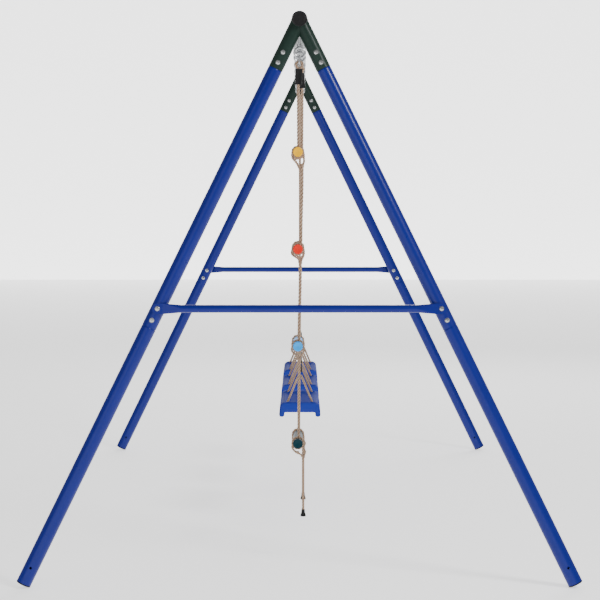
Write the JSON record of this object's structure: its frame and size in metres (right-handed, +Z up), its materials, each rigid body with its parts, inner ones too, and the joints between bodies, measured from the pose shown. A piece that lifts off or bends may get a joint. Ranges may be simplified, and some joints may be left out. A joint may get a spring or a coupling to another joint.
{
  "type": "swing set",
  "caption": "Steel A-frame swing set with moulded seats on ropes, and a rope ladder with coloured rungs at one end.",
  "frame": {"origin": "on the ground, at the middle of the footprint", "axes": "+Z up, +Y along the crossbar away from the ladder, X across the feet"},
  "size_m": [1.8084, 3.2454, 1.868],
  "materials": {
    "blue_powder_coat": "glossy blue powder coat",
    "green_powder_coat": "dark green powder coat, slightly textured",
    "black_plastic": "moulded black polyethylene",
    "zinc": "bright zinc plate",
    "rope": "twisted beige polypropylene rope",
    "seat_blue": "moulded blue polyethylene",
    "rung_yellow": "moulded yellow plastic",
    "rung_red": "moulded red plastic",
    "rung_light_blue": "moulded light blue plastic",
    "rung_teal": "moulded dark teal plastic"
  },
  "bodies": {
    "frame": {"beam_front": "green_powder_coat", "beam_rear": "green_powder_coat", "apex_bracket_front": "green_powder_coat", "apex_bracket_rear": "green_powder_coat", "upper_leg_front_left": "blue_powder_coat", "upper_leg_front_right": "blue_powder_coat", "upper_leg_rear_left": "blue_powder_coat", "upper_leg_rear_right": "blue_powder_coat", "lower_leg_front_left": "blue_powder_coat", "lower_leg_front_right": "blue_powder_coat", "lower_leg_rear_left": "blue_powder_coat", "lower_leg_rear_right": "blue_powder_coat", "cross_brace_front": "blue_powder_coat", "cross_brace_rear": "blue_powder_coat", "beam_end_caps": "black_plastic", "foot_caps": "black_plastic", "frame_bolts": "zinc", "frame_cap_nuts": "zinc", "frame_washers": "zinc", "eye_bolts": "zinc", "eye_bolt_nuts": "zinc", "eye_bolt_washers": "zinc"},
    "hanger_front": {"swing_ropes_front": "rope", "swing_clips_front": "black_plastic", "swing_links_front": "zinc", "swing_thimbles_front": "zinc", "swing_sleeves_front": "black_plastic"},
    "swing_seat_front": {"seat_front": "seat_blue", "yoke_ropes_front": "rope"},
    "hanger_middle": {"swing_ropes_middle": "rope", "swing_clips_middle": "black_plastic", "swing_links_middle": "zinc", "swing_thimbles_middle": "zinc", "swing_sleeves_middle": "black_plastic"},
    "swing_seat_middle": {"seat_middle": "seat_blue", "yoke_ropes_middle": "rope"},
    "hanger_rear": {"swing_ropes_rear": "rope", "swing_clips_rear": "black_plastic", "swing_links_rear": "zinc", "swing_thimbles_rear": "zinc", "swing_sleeves_rear": "black_plastic"},
    "swing_seat_rear": {"seat_rear": "seat_blue", "yoke_ropes_rear": "rope"},
    "ladder_stage_1": {"ladder_ropes_1": "rope", "rung_1": "rung_yellow", "ladder_links": "zinc", "ladder_thimbles": "zinc", "ladder_sleeves": "black_plastic"},
    "ladder_stage_2": {"ladder_ropes_2": "rope", "rung_2": "rung_red"},
    "ladder_stage_3": {"ladder_ropes_3": "rope", "rung_3": "rung_light_blue"},
    "ladder_stage_4": {"ladder_ropes_4": "rope", "rung_4": "rung_teal"},
    "tail_near": {"ladder_tail_near": "rope", "tail_cap_near": "black_plastic"},
    "tail_far": {"ladder_tail_far": "rope", "tail_cap_far": "black_plastic"}
  },
  "joints": [
    {"name": "swing_front", "type": "hinge", "parent": "frame", "child": "hanger_front", "pos_m": [0, -0.375, 1.7347], "axis": [0, 1, 0], "range_deg": [-50, 50]},
    {"name": "seat_tilt_front", "type": "hinge", "parent": "hanger_front", "child": "swing_seat_front", "pos_m": [0, -0.375, 0.568], "axis": [0, 1, 0], "range_deg": [-25, 25]},
    {"name": "swing_middle", "type": "hinge", "parent": "frame", "child": "hanger_middle", "pos_m": [0, 0.27, 1.7347], "axis": [0, 1, 0], "range_deg": [-50, 50]},
    {"name": "seat_tilt_middle", "type": "hinge", "parent": "hanger_middle", "child": "swing_seat_middle", "pos_m": [0, 0.27, 0.568], "axis": [0, 1, 0], "range_deg": [-25, 25]},
    {"name": "swing_rear", "type": "hinge", "parent": "frame", "child": "hanger_rear", "pos_m": [0, 0.915, 1.7347], "axis": [0, 1, 0], "range_deg": [-50, 50]},
    {"name": "seat_tilt_rear", "type": "hinge", "parent": "hanger_rear", "child": "swing_seat_rear", "pos_m": [0, 0.915, 0.568], "axis": [0, 1, 0], "range_deg": [-25, 25]},
    {"name": "ladder_swing", "type": "hinge", "parent": "frame", "child": "ladder_stage_1", "pos_m": [0, -1.049, 1.7347], "axis": [0, 1, 0], "range_deg": [-40, 40]},
    {"name": "ladder_bend_1", "type": "hinge", "parent": "ladder_stage_1", "child": "ladder_stage_2", "pos_m": [-0.006, -1.049, 1.402], "axis": [0, 1, 0], "range_deg": [-30, 30]},
    {"name": "ladder_bend_2", "type": "hinge", "parent": "ladder_stage_2", "child": "ladder_stage_3", "pos_m": [-0.006, -1.049, 1.069], "axis": [0, 1, 0], "range_deg": [-30, 30]},
    {"name": "ladder_bend_3", "type": "hinge", "parent": "ladder_stage_3", "child": "ladder_stage_4", "pos_m": [-0.006, -1.049, 0.736], "axis": [0, 1, 0], "range_deg": [-30, 30]},
    {"name": "tail_sway_near", "type": "hinge", "parent": "ladder_stage_4", "child": "tail_near", "pos_m": [0.012, -1.16, 0.357], "axis": [0, 1, 0], "range_deg": [-35, 35]},
    {"name": "tail_sway_far", "type": "hinge", "parent": "ladder_stage_4", "child": "tail_far", "pos_m": [0.012, -0.938, 0.357], "axis": [0, 1, 0], "range_deg": [-35, 35]}
  ]
}
